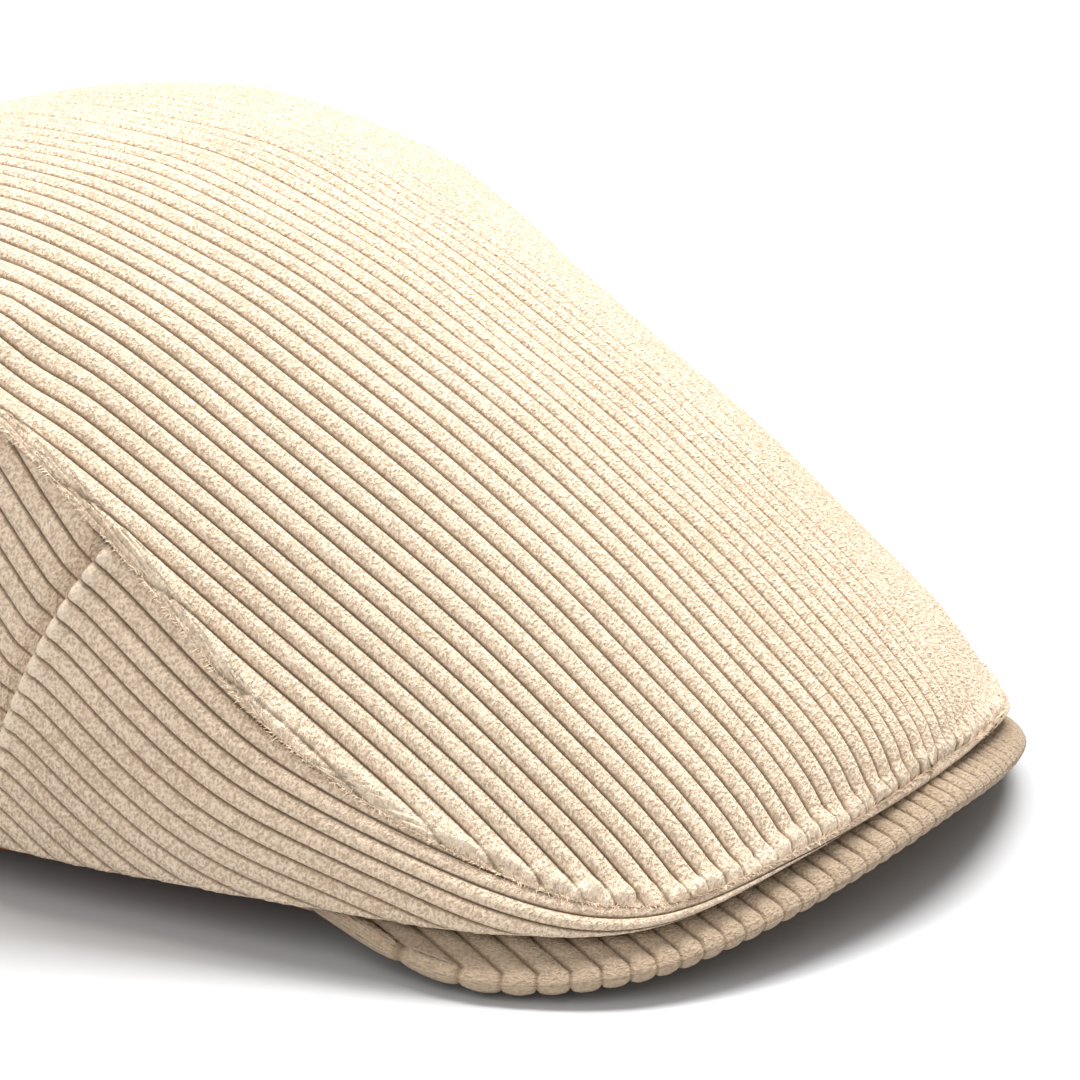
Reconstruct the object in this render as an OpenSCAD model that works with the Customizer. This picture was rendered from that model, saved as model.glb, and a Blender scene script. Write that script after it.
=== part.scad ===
// Corduroy flat cap: a one-piece top panel over four side panels, a stiffened
// visor held to the crown by a snap, a satin lining and a sweatband.
// +Z is up, -Y is the front, the cap stands on z = 0 and the origin is under
// the middle of its box.  The wearer's right is x < 0.

/* [Crown] */
// Length of the crown, from its front seam to its back seam
crown_l = 267.5; // [222.5:0.5:321]
// Width of the crown at the bottom edge
crown_w = 172; // [143:1:207]
// Height of the crown above the table
crown_h = 119.2; // [99:0.2:143.2]
// Outward bulge of the side panels at the back
side_bulge = 11; // [6:0.5:16]
// Roundness of the top panel across its width
top_roundness = 2.4; // [2:0.1:3]

/* [Cloth] */
// Thickness of the corduroy, ribs and backing together
cloth_t = 1.8; // [1:0.1:2.2]
// Thickness of the stiff interlining behind the front of the top panel
interlining_t = 0.6; // [0.4:0.1:0.9]
// Thickness of the satin lining
lining_t = 0.5; // [0.3:0.1:0.8]
// Air left between two layers of cloth
layer_gap = 0.4; // [0.3:0.05:0.6]
// Gap left between two panels along their seam
seam_gap = 0.3; // [0.2:0.05:0.5]

/* [Sweatband] */
// Height of the sweatband
band_h = 32; // [24:1:40]
// Thickness of the sweatband
band_t = 1.2; // [0.8:0.1:1.6]
// How far the sweatband hangs below the crown's edge at the sides
band_drop = 1.6; // [0.8:0.1:2.2]

/* [Visor] */
// How far the visor reaches past the crown's front edge
visor_reach = 3; // [1:0.5:8]
// Thickness of the plastic board in the visor
board_t = 1.4; // [1:0.1:2]
// Thickness of the cloth over and under the board
cover_t = 1.3; // [0.9:0.1:1.8]
// How far the board stops short of the visor's edge
board_inset = 3; // [2:0.5:6]
// Clearance between the visor and the turned-in front of the crown
visor_clear = 0.8; // [0.6:0.1:1.4]
// Extra clearance above the middle of the visor, where the snap sits
snap_room = 3.4; // [2.6:0.1:4.1]

/* [Snap] */
// Diameter of the snap's socket and stud discs
snap_d = 11; // [9:0.5:13.5]
// Diameter of the stud's post
post_d = 3; // [2:0.2:3.6]
// Clearance all round the post in the socket
post_clear = 0.7; // [0.6:0.1:1]
// Thickness of each disc of the snap
disc_t = 0.7; // [0.5:0.1:0.8]

/* [Size label] */
// Length of the blank label on the sweatband
label_l = 24; // [16:1:36]
// Height of the blank label
label_h = 12; // [8:1:18]
// Thickness of the blank label
label_t = 0.4; // [0.3:0.1:0.6]

/* [Hidden] */

cord_colour = "#d8c3a0";
satin_colour = "#c8641e";
board_colour = "#3a3a3a";
metal_colour = "#b9b4a8";

half_w = crown_w / 2;

// Shape of the crown, front centre to back centre round the wearer's right,
// as fractions of half the width, of the length and of the height.
// The seam between the top panel and the side panels:
SEAM = [[0, -0.495, 0.196], [-0.442, -0.477, 0.172], [-0.767, -0.419, 0.138],
        [-0.895, -0.325, 0.193], [-0.953, -0.191, 0.339], [-0.977, -0.071, 0.595],
        [-0.971, 0.049, 0.789], [-0.907, 0.183, 0.872], [-0.733, 0.321, 0.855],
        [-0.419, 0.452, 0.755], [0, 0.505, 0.655]];
// The bottom edge:
EDGE = [[0, -0.504, 0.178], [-0.465, -0.482, 0.149], [-0.779, -0.431, 0.099],
        [-0.93, -0.336, 0.087], [-0.99, -0.196, 0.083], [-1, -0.071, 0.077],
        [-1, 0.056, 0.079], [-0.977, 0.183, 0.063], [-0.86, 0.316, 0.029],
        [-0.512, 0.443, 0.005], [0, 0.491, 0]];
// The line round the head opening, from the forehead to the back:
OPENING = [[0, -0.277, 0.235], [-0.36, -0.265, 0.214], [-0.657, -0.237, 0.164],
           [-0.826, -0.202, 0.118], [-0.93, -0.161, 0.084], [-0.988, -0.094, 0.064],
           [-1, 0.019, 0.063], [-0.985, 0.15, 0.055], [-0.885, 0.299, 0.023],
           [-0.56, 0.43, 0.004], [0, 0.487, 0.001]];
// The visor's outer edge and inner edge, from the middle to the temple:
VISOR_OUT = [[0, -0.5187, 0.136], [-0.465, -0.4935, 0.096], [-0.797, -0.439, 0.044],
             [-0.953, -0.361, 0.017], [-0.98, -0.285, 0.027], [-0.925, -0.185, 0.081]];
VISOR_IN = [[0, -0.286, 0.249], [-0.349, -0.275, 0.228], [-0.628, -0.247, 0.18],
            [-0.791, -0.216, 0.138], [-0.872, -0.19, 0.111], [-0.9, -0.173, 0.092]];
// The top panel's centre line, as fractions of the length and the height:
CENTRE = [[-0.495, 0.196], [-0.486, 0.261], [-0.426, 0.399], [-0.277, 0.655],
          [-0.127, 0.848], [0.023, 0.971], [0.172, 1], [0.303, 0.945],
          [0.415, 0.842], [0.483, 0.737], [0.505, 0.655]];

// The slanted seams in the sides start here on the top seam and end here on
// the edge, counted in points of the two curves.
slant_top = 5;
slant_edge = 5.9;
last = len(SEAM) - 1;

// Depth of each layer below the outside of the cloth
interlining_d = cloth_t + layer_gap;
lining_d = interlining_d + interlining_t + layer_gap;
wall_d = lining_d + lining_t + layer_gap;
// Angle at which the layers meet along the top seam
lean = 40;
// Corduroy panels start this far down the side from the seam, as a fraction
seam_share = 0.012;
// The rims of the top panel and of its lining, as shares of the way to the seam
rim_share = 0.997;
lining_rim = 0.985;
// Rings of the top panel crowd towards its rim by this power
ring_crowding = 1.6;
// Share of the bulge at the front, and where it is full, in points of EDGE
front_bulge = 0.08;
bulge_full = 5.5;
// Points of the two curves lie about this far apart
point_spacing = 20;
// The interlining starts this far behind the front, and spans this share
interlining_from = 14;
interlining_share = 0.86;
// The lining of the sides: where it starts in front, its top and its bottom
lining_from = 3.4;
lining_v = [0.03, 0.8];
// The lining over the facing: extra arch, and where it starts behind the edge
lining_arch = 9.5;
lining_start = 0.14;

// Visor: half its thickness, how far its middle is arched, and the facing
visor_half = board_t / 2 + layer_gap / 2 + cover_t;
visor_arch = 3;
temple = len(VISOR_OUT) - 1;
board_end = 4.2;
// The board's inner edge stops short by this share of its outer inset
inner_inset = 0.4;
// Share of the arch that is lost on the way from the middle to the ends
arch_fade = 0.8;
// Facing: its thickness, how deep it tucks in behind the crown's edge as a
// share of that, its ends in points of EDGE and VISOR_IN, and its extra arch
facing_t = 1;
facing_tuck = 0.9;
facing_end = 3.25;
facing_inner_end = 4.1;
arch_per_room = 1.6;
// Distance of the snap from the visor's outer edge, as a fraction of its depth
snap_at = 0.42;
// Air under the socket and over it
socket_air = 0.3;
socket_seat = 0.9;
// Height of the post inside the socket, as a share of the socket's height
post_share = 0.8;
// Air between the stud and the cloth under it
stud_seat = 0.05;
// The elastic takes the back of the sweatband from here, in points of OPENING
elastic_from = 8.8;
band_gap = 0.02;
label_from = 7.2;

// ---- curves -------------------------------------------------------------
function mirrored(p) = [for (i = [0:len(p) - 1]) i == 0 ? -p[i] : p[i]];
function blend4(a, b, c, d, f) =
    0.5 * (2 * b + (c - a) * f + (2 * a - 5 * b + 4 * c - d) * f * f
           + (3 * b - a - 3 * c + d) * f * f * f);
// A smooth curve through P that crosses the middle plane at its first point,
// and at its last point too where closed is true
function along(P, t, closed = true) =
    let (n = len(P) - 1, i = max(0, min(floor(t), n - 1)),
         a = i > 0 ? P[i - 1] : mirrored(P[1]),
         d = i + 2 <= n ? P[i + 2] : closed ? mirrored(P[n - 1]) : 2 * P[n] - P[n - 1])
    blend4(a, P[i], P[i + 1], d, t - i);
function scaled(p) = [p[0] * half_w, p[1] * crown_l, p[2] * crown_h];
SEAM_MM = [for (p = SEAM) scaled(p)];
EDGE_MM = [for (p = EDGE) scaled(p)];

// Outward horizontal direction of a curve at t
function outward(P, t, closed = true) =
    let (e = 0.05,
         a = along(P, max(0, t - e), closed),
         b = along(P, min(len(P) - 1, t + e), closed),
         v = [a[1] - b[1], b[0] - a[0]])
    concat(v / norm(v), 0);
function tilted(h, a) = [h[0] * cos(a), h[1] * cos(a), sin(a)];

function seam_at(t, d) = along(SEAM_MM, t) - d * tilted(outward(SEAM_MM, t), lean);
function edge_at(t, d) = along(EDGE_MM, t) - d * outward(EDGE_MM, t);

// ---- top panel surface at a depth d ---------------------------------------
step = 0.125;
function seam_table(d, k) =
    [for (t = [0:step:last]) let (p = seam_at(t, d)) [p[1], k == 0 ? abs(p[0]) : p[2]]];
function centre_at(t, d) =
    let (n = len(CENTRE) - 1,
         P = [for (c = CENTRE) [0, c[0] * crown_l, c[1] * crown_h]],
         p = along(P, t, false),
         a = along(P, max(0, t - 0.05), false), b = along(P, min(n, t + 0.05), false),
         v = [0, a[2] - b[2], b[1] - a[1]])
    t <= 0 ? seam_at(0, d) : t >= n ? seam_at(last, d) : p - d * v / norm(v);
function centre_table(d) =
    [for (t = [0:step:len(CENTRE) - 1]) let (p = centre_at(t, d)) [p[1], p[2]]];

// The top panel's rings are centred here
top_y = 0;
// Rings of the top panel from just outside the middle to its rim
function top_rings(d, rings, around, rim) =
    let (half = seam_table(d, 0), low = seam_table(d, 1), high = centre_table(d))
    [for (k = [1:rings])
        let (r = (1 - pow(1 - k / rings, ring_crowding)) * rim)
        [for (j = [0:around - 1])
            let (t = (j / around * 2 - 1) * last,
                 q = seam_at(abs(t), d), x = (t < 0 ? -1 : 1) * q[0] * r,
                 y = top_y + (q[1] - top_y) * r,
                 s = min(1, abs(x) / max(0.01, lookup(y, half))),
                 z0 = lookup(y, low), z1 = max(z0, lookup(y, high)))
            [x, y, z0 + (z1 - z0) * (1 - pow(s, top_roundness))]]];
function top_middle(d) = [0, top_y, lookup(top_y, centre_table(d))];

// ---- side panel surface ---------------------------------------------------
// Fraction of the bulge at t: little at the front, full at the back
function bulge_at(t) = 
    side_bulge * (front_bulge + (1 - front_bulge) * pow(min(1, t / bulge_full), 2));
function side_at(t, v, d) =
    let (s = seam_at(t, d), e = edge_at(t, d),
         m = (s + e) / 2 + bulge_at(t) * outward(EDGE_MM, t))
    (1 - v) * (1 - v) * s + 2 * v * (1 - v) * m + v * v * e;
function slant(v) = slant_top + (slant_edge - slant_top) * v;

// ---- closed solids from two surfaces --------------------------------------
// Two grids, outer and inner, of the same size, closed round their rims
module slab(outer, inner) {
    n = len(outer);
    m = len(outer[0]);
    pts = concat([for (r = outer) each r], [for (r = inner) each r]);
    k = n * m;
    function at(i, j) = i * m + j;
    faces = concat(
        [for (i = [0:n - 2], j = [0:m - 2])
            each [[at(i, j), at(i, j + 1), at(i + 1, j + 1)],
                  [at(i, j), at(i + 1, j + 1), at(i + 1, j)]]],
        [for (i = [0:n - 2], j = [0:m - 2])
            each [[k + at(i, j), k + at(i + 1, j + 1), k + at(i, j + 1)],
                  [k + at(i, j), k + at(i + 1, j), k + at(i + 1, j + 1)]]],
        [for (j = [0:m - 2])
            each [[at(0, j), k + at(0, j), k + at(0, j + 1)],
                  [at(0, j), k + at(0, j + 1), at(0, j + 1)],
                  [at(n - 1, j), k + at(n - 1, j + 1), k + at(n - 1, j)],
                  [at(n - 1, j), at(n - 1, j + 1), k + at(n - 1, j + 1)]]],
        [for (i = [0:n - 2])
            each [[at(i, 0), k + at(i + 1, 0), k + at(i, 0)],
                  [at(i, 0), at(i + 1, 0), k + at(i + 1, 0)],
                  [at(i, m - 1), k + at(i, m - 1), k + at(i + 1, m - 1)],
                  [at(i, m - 1), k + at(i + 1, m - 1), at(i + 1, m - 1)]]]);
    polyhedron(pts, faces, convexity = 8);
}

// A domed disc between two sets of rings, each closed by a fan at its middle
module dome(outer, outer_mid, inner, inner_mid) {
    n = len(outer);
    m = len(outer[0]);
    k = n * m + 1;
    pts = concat([outer_mid], [for (r = outer) each r],
                 [inner_mid], [for (r = inner) each r]);
    function at(i, j) = 1 + i * m + (j + m) % m;
    faces = concat(
        [for (j = [0:m - 1]) each [[0, at(0, j), at(0, j + 1)],
                                   [k, k + at(0, j + 1), k + at(0, j)]]],
        [for (i = [0:n - 2], j = [0:m - 1])
            each [[at(i, j), at(i + 1, j), at(i + 1, j + 1)],
                  [at(i, j), at(i + 1, j + 1), at(i, j + 1)],
                  [k + at(i, j), k + at(i + 1, j + 1), k + at(i + 1, j)],
                  [k + at(i, j), k + at(i, j + 1), k + at(i + 1, j + 1)]]],
        [for (j = [0:m - 1])
            each [[at(n - 1, j), k + at(n - 1, j), k + at(n - 1, j + 1)],
                  [at(n - 1, j), k + at(n - 1, j + 1), at(n - 1, j + 1)]]]);
    polyhedron(pts, faces, convexity = 8);
}

module top_layer(d, t, rings, around, rim) {
    dome(top_rings(d, rings, around, rim), top_middle(d),
         top_rings(d + t, rings, around, rim), top_middle(d + t));
}

// One side layer on the wearer's right, from height v0 to v1 of the panel.
// It spans the whole side from t = from, or the part in front of the slanted
// seam, or the part behind it.
module side_layer(d, t, columns, rows, v0, v1, part, from = 0) {
    half_gap = seam_gap / 2 / point_spacing;
    function column(f, v) =
        let (a = part == "front" ? half_gap : part == "rear" ? slant(v) + half_gap : from,
             b = part == "front" ? slant(v) - half_gap : last - half_gap)
        a + f * (b - a);
    function grid(e) =
        [for (i = [0:columns])
            [for (j = [0:rows])
                let (v = v0 + (v1 - v0) * j / rows)
                side_at(column(i / columns, v), v, e)]];
    slab(grid(d), grid(d + t));
}

module on_the_left() {
    mirror([1, 0, 0]) children();
}

// ---- visor and facing surfaces --------------------------------------------
VISOR_OUT_MM = [for (p = VISOR_OUT) scaled(p)];
VISOR_IN_MM = [for (p = VISOR_IN) scaled(p)];
nominal_reach = 3;
visor_low = min([for (t = [0:step:temple]) along(VISOR_OUT_MM, t, false)[2]]);
visor_lift = visor_half - visor_low;

function visor_out(t) =
    along(VISOR_OUT_MM, t, false) + [0, 0, visor_lift]
    + (visor_reach - nominal_reach) * (1 - t / temple) * outward(VISOR_OUT_MM, t, false);
function visor_in(t) = along(VISOR_IN_MM, t, false) + [0, 0, visor_lift];
function arched(a, b, h, u) =
    (1 - u) * (1 - u) * a + 2 * u * (1 - u) * ((a + b) / 2 + [0, 0, h]) + u * u * b;
function visor_arch_at(t) = visor_arch * (1 - arch_fade * t / temple);
function visor_at(t, u) = arched(visor_out(t), visor_in(t), visor_arch_at(t), u);

// The facing turns in from the crown's front edge and lies over the visor
facing_arch = visor_arch + arch_per_room * snap_room;
function facing_out(t) =
    edge_at(t, cloth_t + seam_gap + facing_tuck * facing_t) + [0, 0, facing_t / 2];
function facing_in(t) =
    visor_in(t * facing_inner_end / facing_end)
    + [0, 0, visor_half + visor_clear + facing_t / 2];
function facing_at(t, u, rise) =
    arched(facing_out(t), facing_in(t),
           (rise + facing_arch) * (1 - arch_fade * t / facing_end), u);

// A sheet over the columns t = -to..to and the rows u = u0..u1 of a surface,
// from height z0 to height z1 above it
module facing_sheet(z0, z1, rise, columns, rows, u0, u1) {
    function grid(z) =
        [for (i = [-columns:columns])
            let (t = abs(i) / columns * facing_end, side = i < 0 ? -1 : 1)
            [for (j = [0:rows])
                let (p = facing_at(t, u0 + (u1 - u0) * j / rows, rise))
                [side * p[0], p[1], p[2] + z]]];
    slab(grid(z0), grid(z1));
}
module visor_sheet(z0, z1, columns, rows, to, inset) {
    function grid(z) =
        [for (i = [-columns:columns])
            let (t = abs(i) / columns * to, side = i < 0 ? -1 : 1,
                 u0 = min(0.3, inset / norm(visor_out(t) - visor_in(t))))
            [for (j = [0:rows])
                let (p = visor_at(t, u0 + (1 - (1 + inner_inset) * u0) * j / rows))
                [side * p[0], p[1], p[2] + z]]];
    slab(grid(z0), grid(z1));
}

// ---- sweatband -------------------------------------------------------------
OPENING_MM = [for (p = OPENING) scaled(p)];
nominal_drop = 1.6;
drop_share = [[0, 0], [4, 0], [5, 1], [8, 1], [9, 0], [10, 0]];
// A point of the band at t, height share h and depth d behind its outer face.
// Past the back centre t runs on round the wearer's left.
function band_at(t, h, d) =
    let (on_left = t < 0 || t > last, a = t > last ? 2 * last - t : abs(t),
         p = along(OPENING_MM, a) - (wall_d + d) * outward(OPENING_MM, a))
    [(on_left ? -1 : 1) * p[0], p[1],
     p[2] + h * band_h + (nominal_drop - band_drop) * lookup(a, drop_share)];
module band_strip(from, to, columns, rows, h0, h1, d0, d1) {
    function grid(d) =
        [for (i = [0:columns])
            [for (j = [0:rows])
                band_at(from + (to - from) * i / columns, h1 + (h0 - h1) * j / rows, d)]];
    slab(grid(d0), grid(d1));
}

// ---- snap ------------------------------------------------------------------
snap_seat = visor_at(0, snap_at);
snap_slope = let (e = 0.02, a = visor_at(0, snap_at - e), b = visor_at(0, snap_at + e))
    atan2(b[2] - a[2], b[1] - a[1]);
// Height of the facing's underside over the visor's top at the snap
function facing_over(y, n = 40) =
    lookup(y, [for (i = [0:n]) let (p = facing_at(0, i / n, 0)) [p[1], p[2]]]);
snap_space = (facing_over(snap_seat[1]) - facing_t / 2 - snap_seat[2] - visor_half)
    * cos(snap_slope);
socket_h = snap_space - disc_t - socket_air - socket_seat;
module at_snap(lift) {
    translate(snap_seat + [0, 0, visor_half])
        rotate([snap_slope, 0, 0])
            translate([0, 0, lift])
                children();
}

// ---- crown -----------------------------------------------------------------
module top_panel() {
    color(cord_colour) top_layer(0, cloth_t, 10, 48, rim_share);
}
module side_panel_front_right() {
    color(cord_colour) side_layer(0, cloth_t, 20, 6, seam_share, 1, "front");
}
module side_panel_front_left() {
    color(cord_colour) on_the_left()
        side_layer(0, cloth_t, 20, 6, seam_share, 1, "front");
}
module side_panel_rear_right() {
    color(cord_colour) side_layer(0, cloth_t, 14, 6, seam_share, 1, "rear");
}
module side_panel_rear_left() {
    color(cord_colour) on_the_left()
        side_layer(0, cloth_t, 14, 6, seam_share, 1, "rear");
}
module crown_front_facing() {
    color(cord_colour) facing_sheet(-facing_t / 2, facing_t / 2, 0, 12, 5, 0, 1);
}
// Stiff backing of the front of the top panel, up to the middle
module crown_interlining() {
    rows = 14;
    columns = 16;
    front = seam_at(0, interlining_d)[1] + interlining_from;
    function grid(d) =
        let (half = seam_table(d, 0), low = seam_table(d, 1), high = centre_table(d))
        [for (i = [0:rows])
            let (y = front + (top_y - front) * i / rows, a = lookup(y, half),
                 z0 = lookup(y, low), z1 = lookup(y, high))
            [for (j = [0:columns])
                let (s = interlining_share * (2 * j / columns - 1))
                [s * a, y, z0 + (z1 - z0) * (1 - pow(abs(s), top_roundness))]]];
    color("#e9e4da") slab(grid(interlining_d + interlining_t), grid(interlining_d));
}
module lining_top() {
    color(satin_colour) top_layer(lining_d, lining_t, 7, 40, lining_rim);
}
module lining_side_right() {
    color(satin_colour)
        side_layer(lining_d, lining_t, 18, 4, lining_v[0], lining_v[1], "whole", lining_from);
}
module lining_side_left() {
    color(satin_colour) on_the_left()
        side_layer(lining_d, lining_t, 18, 4, lining_v[0], lining_v[1], "whole", lining_from);
}
module lining_front() {
    low = facing_t / 2 + layer_gap;
    color(satin_colour) facing_sheet(low, low + lining_t, lining_arch, 10, 6, lining_start, 1);
}
module sweatband() {
    to = elastic_from - band_gap;
    color(satin_colour) band_strip(-to, to, 52, 2, 0, 1, 0, band_t);
}
module sweatband_elastic() {
    to = 2 * last - elastic_from;
    color(satin_colour) band_strip(elastic_from, to, 14, 2, 0, 1, 0, band_t);
}
// Blank label sewn to the inner face of the sweatband
module size_label() {
    along_t = label_l / (norm(band_at(label_from, 0, 0) - band_at(label_from + 1, 0, 0)));
    mid = 0.5;
    share = label_h / band_h / 2;
    color("white")
        band_strip(label_from, label_from + along_t, 6, 1, mid - share, mid + share,
                   band_t + seam_gap, band_t + seam_gap + label_t);
}
module snap_socket() {
    color(metal_colour) at_snap(disc_t + socket_air)
        difference() {
            cylinder(h = socket_h, d = snap_d, $fn = 48);
            translate([0, 0, -1])
                cylinder(h = socket_h + 2, d = post_d + 2 * post_clear, $fn = 48);
        }
}
module snap_socket_backing() {
    color(metal_colour) at_snap(snap_space + facing_t + socket_seat)
        cylinder(h = disc_t, d = snap_d, $fn = 48);
}

// ---- visor -----------------------------------------------------------------
module visor_board() {
    color(board_colour)
        visor_sheet(-board_t / 2, board_t / 2, 18, 5, board_end, board_inset);
}
module visor_top_cover() {
    z = board_t / 2 + layer_gap / 2;
    color(cord_colour) visor_sheet(z, z + cover_t, 20, 6, temple, 0);
}
module visor_under_cover() {
    z = board_t / 2 + layer_gap / 2;
    color(cord_colour) visor_sheet(-z - cover_t, -z, 20, 6, temple, 0);
}
module snap_stud() {
    post_h = disc_t + socket_air + post_share * socket_h;
    color(metal_colour) at_snap(stud_seat) {
        cylinder(h = disc_t, d = snap_d, $fn = 48);
        cylinder(h = post_h, d = post_d, $fn = 32);
    }
}

top_panel();
side_panel_front_right();
side_panel_front_left();
side_panel_rear_right();
side_panel_rear_left();
crown_front_facing();
crown_interlining();
lining_top();
lining_side_right();
lining_side_left();
lining_front();
sweatband();
sweatband_elastic();
size_label();
snap_socket();
snap_socket_backing();
visor_board();
visor_top_cover();
visor_under_cover();
snap_stud();
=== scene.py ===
# %% [markdown]
# A corduroy flat cap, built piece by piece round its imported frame.
#
# The frame holds every piece at its real size and place. What it cannot hold is
# cloth: ribs, pile, rolled seams, stitches and satin. This file makes each
# cloth piece again as a fine mesh that lies where the frame's piece lies, and
# gives each one a procedural finish. Everything is in metres, with the front of
# the cap towards -Y and the wearer's right towards -X.

# %% Load the frame
import math

import bmesh
import bpy
import numpy as np
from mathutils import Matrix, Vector


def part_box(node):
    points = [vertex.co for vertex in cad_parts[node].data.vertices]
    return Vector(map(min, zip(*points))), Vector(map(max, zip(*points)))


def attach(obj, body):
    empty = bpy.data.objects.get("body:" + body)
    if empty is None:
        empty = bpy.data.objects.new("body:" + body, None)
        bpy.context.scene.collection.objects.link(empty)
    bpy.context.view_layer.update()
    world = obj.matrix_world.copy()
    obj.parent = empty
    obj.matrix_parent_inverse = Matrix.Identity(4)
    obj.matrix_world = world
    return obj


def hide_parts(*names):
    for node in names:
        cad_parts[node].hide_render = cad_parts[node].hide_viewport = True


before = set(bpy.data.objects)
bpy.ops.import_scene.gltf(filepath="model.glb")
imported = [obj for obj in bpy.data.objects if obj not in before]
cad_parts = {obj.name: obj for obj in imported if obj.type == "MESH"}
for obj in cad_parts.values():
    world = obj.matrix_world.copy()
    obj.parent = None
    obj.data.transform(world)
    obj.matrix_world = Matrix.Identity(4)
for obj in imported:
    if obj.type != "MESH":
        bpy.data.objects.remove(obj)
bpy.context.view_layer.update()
scene = bpy.context.scene
scene.view_settings.view_transform = "Standard"

# %% [markdown]
# The camera looks at the wearer's right side from a little above, through a long
# lens, so that ribs near and far keep almost the same size. The front of the
# cap fills the picture and the back runs out of it. The floor and the lights come
# first too.

# %% Camera
CAMERA_AZIMUTH = math.radians(-60)
CAMERA_HEIGHT = math.radians(18)
CAMERA_DISTANCE = 1.0
CAMERA_LENS = 183.3
CAMERA_TARGET = Vector((0.0066, -0.0506, 0.0498))

toward_camera = Vector((math.sin(CAMERA_AZIMUTH) * math.cos(CAMERA_HEIGHT),
                        -math.cos(CAMERA_AZIMUTH) * math.cos(CAMERA_HEIGHT),
                        math.sin(CAMERA_HEIGHT)))
camera_data = bpy.data.cameras.new("camera")
camera_data.lens = CAMERA_LENS
camera_data.sensor_width = 36
camera_data.clip_start = 0.05
camera_data.clip_end = 20
camera = bpy.data.objects.new("camera", camera_data)
scene.collection.objects.link(camera)
camera.location = CAMERA_TARGET + toward_camera * CAMERA_DISTANCE
camera.rotation_mode = "QUATERNION"
camera.rotation_quaternion = (-toward_camera).to_track_quat("-Z", "Y")
scene.camera = camera
print("camera at", [round(c, 3) for c in camera.location])


# %% Floor and lights
def area_light(name, place, aim, size, watts, colour=(1, 1, 1)):
    data = bpy.data.lights.new(name, "AREA")
    data.shape = "DISK"
    data.size = size
    data.energy = watts
    data.color = colour
    lamp = bpy.data.objects.new(name, data)
    scene.collection.objects.link(lamp)
    lamp.location = place
    lamp.rotation_mode = "QUATERNION"
    lamp.rotation_quaternion = (Vector(aim) - Vector(place)).to_track_quat("-Z", "Y")
    return lamp


floor_mesh = bpy.data.meshes.new("floor")
FLOOR_HALF = 4.0
floor_mesh.from_pydata([(-FLOOR_HALF, -FLOOR_HALF, 0), (FLOOR_HALF, -FLOOR_HALF, 0),
                        (FLOOR_HALF, FLOOR_HALF, 0), (-FLOOR_HALF, FLOOR_HALF, 0)],
                       [], [(0, 1, 2, 3)])
floor = bpy.data.objects.new("floor", floor_mesh)
scene.collection.objects.link(floor)
floor_finish = bpy.data.materials.new("floor_white")
floor_finish.use_nodes = True
floor_shader = floor_finish.node_tree.nodes["Principled BSDF"]
floor_shader.inputs["Base Color"].default_value = (0.56, 0.56, 0.565, 1)
floor_shader.inputs["Roughness"].default_value = 0.9
floor_shader.inputs["Specular IOR Level"].default_value = 0.1
floor_mesh.materials.append(floor_finish)

middle = (0, -0.03, 0.06)
area_light("key", (0.0, 0.30, 1.42), middle, 0.7, 12)
area_light("fill", (-1.3, -0.3, 1.0), middle, 1.4, 12)
area_light("front", (0.45, -0.25, 1.42), middle, 0.8, 30)
world = bpy.data.worlds.new("studio")
world.use_nodes = True
world.node_tree.nodes["Background"].inputs["Color"].default_value = (1, 1, 1, 1)
world.node_tree.nodes["Background"].inputs["Strength"].default_value = 0.42
scene.world = world

# %% [markdown]
# The cap's shape is four curves: the seam round the top panel, the bottom edge,
# the top panel's centre line and the line round the head opening. They are the
# same curves that the frame was drawn with, as fractions of half the width, the
# length and the height, which are read back from the frame. A smooth curve runs
# through each list and crosses the middle plane squarely.

# %% Sizes from the frame
def cad_size(node, axis):
    low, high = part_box(node)
    return high[axis] - low[axis]


RIB_PITCH = 0.004

SEAM = [[0, -0.495, 0.196], [-0.442, -0.477, 0.172], [-0.767, -0.419, 0.138],
        [-0.895, -0.325, 0.193], [-0.953, -0.191, 0.339], [-0.977, -0.071, 0.595],
        [-0.971, 0.049, 0.789], [-0.907, 0.183, 0.872], [-0.733, 0.321, 0.855],
        [-0.419, 0.452, 0.755], [0, 0.505, 0.655]]
EDGE = [[0, -0.504, 0.178], [-0.465, -0.482, 0.149], [-0.779, -0.431, 0.099],
        [-0.93, -0.336, 0.087], [-0.99, -0.196, 0.083], [-1, -0.071, 0.077],
        [-1, 0.056, 0.079], [-0.977, 0.183, 0.063], [-0.86, 0.316, 0.029],
        [-0.512, 0.443, 0.005], [0, 0.491, 0]]
OPENING = [[0, -0.277, 0.235], [-0.36, -0.265, 0.214], [-0.657, -0.237, 0.164],
           [-0.826, -0.202, 0.118], [-0.93, -0.161, 0.084], [-0.988, -0.094, 0.064],
           [-1, 0.019, 0.063], [-0.985, 0.15, 0.055], [-0.885, 0.299, 0.023],
           [-0.56, 0.43, 0.004], [0, 0.487, 0.001]]
VISOR_OUT = [[0, -0.5187, 0.136], [-0.465, -0.4935, 0.096], [-0.797, -0.439, 0.044],
             [-0.953, -0.361, 0.017], [-0.98, -0.285, 0.027], [-0.925, -0.185, 0.081]]
VISOR_IN = [[0, -0.286, 0.249], [-0.349, -0.275, 0.228], [-0.628, -0.247, 0.18],
            [-0.791, -0.216, 0.138], [-0.872, -0.19, 0.111], [-0.9, -0.173, 0.092]]
CENTRE = [[-0.495, 0.196], [-0.486, 0.261], [-0.426, 0.399], [-0.277, 0.655],
          [-0.127, 0.848], [0.023, 0.971], [0.172, 1], [0.303, 0.945],
          [0.415, 0.842], [0.483, 0.737], [0.505, 0.655]]
LAST = len(SEAM) - 1
SLANT_TOP, SLANT_EDGE = 5.0, 5.9
ROUNDNESS = 2.4
SIDE_BULGE = 0.011


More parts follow.
